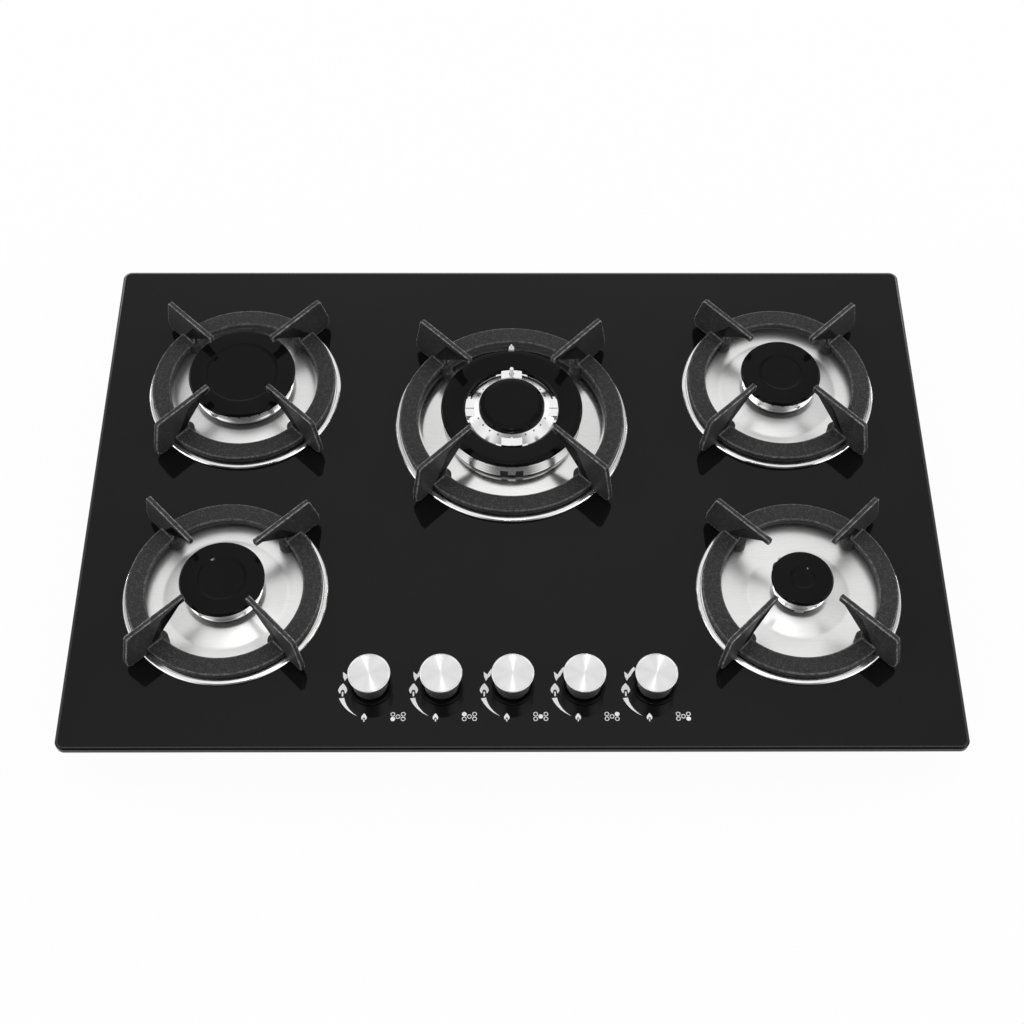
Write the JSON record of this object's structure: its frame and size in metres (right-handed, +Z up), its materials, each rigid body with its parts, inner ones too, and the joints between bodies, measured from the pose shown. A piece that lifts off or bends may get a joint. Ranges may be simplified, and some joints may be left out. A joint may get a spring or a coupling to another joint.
{
  "type": "gas cooktop",
  "caption": "Built-in gas cooktop: black glass panel with cast pan supports over capped burners in steel drip pans, and a row of push-and-turn knobs.",
  "frame": {"origin": "middle of the cooktop, in the plane of the worktop that its seal rests on", "axes": "+X to the right along the front edge, +Y to the back, +Z up"},
  "size_m": [0.76, 0.51, 0.116],
  "materials": {
    "black_glass": "polished black tempered glass",
    "seal_foam": "matt closed-cell foam",
    "zinc_steel": "zinc-coated sheet",
    "stainless": "brushed stainless sheet",
    "black_cast": "matt black enamel on cast iron",
    "cast_aluminium": "as-cast, satin",
    "black_enamel": "satin black enamel",
    "polished_metal": "polished sides, spun top",
    "dark_plastic": "moulded, satin",
    "brass": "machined",
    "steel": "bright drawn",
    "white_ceramic": "glazed white",
    "grey_silicone": "satin sleeve"
  },
  "bodies": {
    "base": {"glass_panel": "black_glass", "worktop_seal": "seal_foam", "bottom_box": "zinc_steel", "side_burner_rails": "zinc_steel", "wok_burner_rail": "zinc_steel", "injector_holders": "cast_aluminium", "injectors": "brass", "gas_valves": "cast_aluminium", "knob_bezels": "dark_plastic", "gas_manifold": "steel", "inlet_elbow": "brass", "gas_tubes": "cast_aluminium", "electrodes": "white_ceramic", "thermocouples": "steel", "spark_generator": "dark_plastic", "burner_leads": "grey_silicone", "cord_gland": "dark_plastic", "terminal_block": "white_ceramic", "screws": "steel", "drip_pan_rear_left": "stainless", "burner_cup_rear_left": "cast_aluminium", "drip_pan_front_left": "stainless", "burner_cup_front_left": "cast_aluminium", "drip_pan_wok": "stainless", "burner_cup_wok": "cast_aluminium", "drip_pan_rear_right": "stainless", "burner_cup_rear_right": "cast_aluminium", "drip_pan_front_right": "stainless", "burner_cup_front_right": "cast_aluminium"},
    "support_rear_left": {"pan_support_rear_left": "black_cast"},
    "crown_rear_left": {"crown_rear_left": "cast_aluminium"},
    "cap_rear_left": {"cap_rear_left": "black_enamel"},
    "support_front_left": {"pan_support_front_left": "black_cast"},
    "crown_front_left": {"crown_front_left": "cast_aluminium"},
    "cap_front_left": {"cap_front_left": "black_enamel"},
    "support_wok": {"pan_support_wok": "black_cast"},
    "crown_wok": {"crown_wok": "cast_aluminium"},
    "cap_wok_outer": {"cap_wok_outer": "black_enamel"},
    "cap_wok_inner": {"cap_wok_inner": "black_enamel"},
    "support_rear_right": {"pan_support_rear_right": "black_cast"},
    "crown_rear_right": {"crown_rear_right": "cast_aluminium"},
    "cap_rear_right": {"cap_rear_right": "black_enamel"},
    "support_front_right": {"pan_support_front_right": "black_cast"},
    "crown_front_right": {"crown_front_right": "cast_aluminium"},
    "cap_front_right": {"cap_front_right": "black_enamel"},
    "plug_rear_left": {"valve_plug_rear_left": "brass"},
    "knob_rear_left": {"stem_rear_left": "steel", "knob_rear_left": "polished_metal"},
    "plug_front_left": {"valve_plug_front_left": "brass"},
    "knob_front_left": {"stem_front_left": "steel", "knob_front_left": "polished_metal"},
    "plug_wok": {"valve_plug_wok": "brass"},
    "knob_wok": {"stem_wok": "steel", "knob_wok": "polished_metal"},
    "plug_rear_right": {"valve_plug_rear_right": "brass"},
    "knob_rear_right": {"stem_rear_right": "steel", "knob_rear_right": "polished_metal"},
    "plug_front_right": {"valve_plug_front_right": "brass"},
    "knob_front_right": {"stem_front_right": "steel", "knob_front_right": "polished_metal"}
  },
  "joints": [
    {"name": "support_lift_rear_left", "type": "slide", "parent": "base", "child": "support_rear_left", "axis": [0, 0, 1], "range_m": [0, 0.08]},
    {"name": "crown_lift_rear_left", "type": "slide", "parent": "base", "child": "crown_rear_left", "axis": [0, 0, 1], "range_m": [0, 0.04]},
    {"name": "cap_lift_rear_left", "type": "slide", "parent": "crown_rear_left", "child": "cap_rear_left", "axis": [0, 0, 1], "range_m": [0, 0.02]},
    {"name": "support_lift_front_left", "type": "slide", "parent": "base", "child": "support_front_left", "axis": [0, 0, 1], "range_m": [0, 0.08]},
    {"name": "crown_lift_front_left", "type": "slide", "parent": "base", "child": "crown_front_left", "axis": [0, 0, 1], "range_m": [0, 0.04]},
    {"name": "cap_lift_front_left", "type": "slide", "parent": "crown_front_left", "child": "cap_front_left", "axis": [0, 0, 1], "range_m": [0, 0.03]},
    {"name": "support_lift_wok", "type": "slide", "parent": "base", "child": "support_wok", "axis": [0, 0, 1], "range_m": [0, 0.08]},
    {"name": "crown_lift_wok", "type": "slide", "parent": "base", "child": "crown_wok", "axis": [0, 0, 1], "range_m": [0, 0.04]},
    {"name": "cap_lift_wok_outer", "type": "slide", "parent": "crown_wok", "child": "cap_wok_outer", "axis": [0, 0, 1], "range_m": [0, 0.02]},
    {"name": "cap_lift_wok_inner", "type": "slide", "parent": "crown_wok", "child": "cap_wok_inner", "axis": [0, 0, 1], "range_m": [0, 0.02]},
    {"name": "support_lift_rear_right", "type": "slide", "parent": "base", "child": "support_rear_right", "axis": [0, 0, 1], "range_m": [0, 0.08]},
    {"name": "crown_lift_rear_right", "type": "slide", "parent": "base", "child": "crown_rear_right", "axis": [0, 0, 1], "range_m": [0, 0.04]},
    {"name": "cap_lift_rear_right", "type": "slide", "parent": "crown_rear_right", "child": "cap_rear_right", "axis": [0, 0, 1], "range_m": [0, 0.03]},
    {"name": "support_lift_front_right", "type": "slide", "parent": "base", "child": "support_front_right", "axis": [0, 0, 1], "range_m": [0, 0.08]},
    {"name": "crown_lift_front_right", "type": "slide", "parent": "base", "child": "crown_front_right", "axis": [0, 0, 1], "range_m": [0, 0.04]},
    {"name": "cap_lift_front_right", "type": "slide", "parent": "crown_front_right", "child": "cap_front_right", "axis": [0, 0, 1], "range_m": [0, 0.03]},
    {"name": "knob_turn_rear_left", "type": "hinge", "parent": "base", "child": "plug_rear_left", "pos_m": [-0.06, -0.197, 0], "axis": [0, 0, 1], "range_deg": [0, 170]},
    {"name": "knob_push_rear_left", "type": "slide", "parent": "plug_rear_left", "child": "knob_rear_left", "axis": [0, 0, -1], "range_m": [0, 0.0032], "stiffness_N_per_m": 1200, "springref_m": -0.001},
    {"name": "knob_turn_front_left", "type": "hinge", "parent": "base", "child": "plug_front_left", "pos_m": [-0.12, -0.197, 0], "axis": [0, 0, 1], "range_deg": [0, 170]},
    {"name": "knob_push_front_left", "type": "slide", "parent": "plug_front_left", "child": "knob_front_left", "axis": [0, 0, -1], "range_m": [0, 0.0032], "stiffness_N_per_m": 1200, "springref_m": -0.001},
    {"name": "knob_turn_wok", "type": "hinge", "parent": "base", "child": "plug_wok", "pos_m": [0, -0.197, 0], "axis": [0, 0, 1], "range_deg": [0, 170]},
    {"name": "knob_push_wok", "type": "slide", "parent": "plug_wok", "child": "knob_wok", "axis": [0, 0, -1], "range_m": [0, 0.0032], "stiffness_N_per_m": 1200, "springref_m": -0.001},
    {"name": "knob_turn_rear_right", "type": "hinge", "parent": "base", "child": "plug_rear_right", "pos_m": [0.06, -0.197, 0], "axis": [0, 0, 1], "range_deg": [0, 170]},
    {"name": "knob_push_rear_right", "type": "slide", "parent": "plug_rear_right", "child": "knob_rear_right", "axis": [0, 0, -1], "range_m": [0, 0.0032], "stiffness_N_per_m": 1200, "springref_m": -0.001},
    {"name": "knob_turn_front_right", "type": "hinge", "parent": "base", "child": "plug_front_right", "pos_m": [0.12, -0.197, 0], "axis": [0, 0, 1], "range_deg": [0, 170]},
    {"name": "knob_push_front_right", "type": "slide", "parent": "plug_front_right", "child": "knob_front_right", "axis": [0, 0, -1], "range_m": [0, 0.0032], "stiffness_N_per_m": 1200, "springref_m": -0.001}
  ],
  "couplings": [
    {"joint": "crown_lift_rear_left", "follows": "support_lift_rear_left", "ratio": 0.5},
    {"joint": "cap_lift_rear_left", "follows": "support_lift_rear_left", "ratio": 0.25},
    {"joint": "crown_lift_wok", "follows": "support_lift_wok", "ratio": 0.5},
    {"joint": "cap_lift_wok_outer", "follows": "support_lift_wok", "ratio": 0.25},
    {"joint": "cap_lift_wok_inner", "follows": "support_lift_wok", "ratio": 0.25}
  ]
}
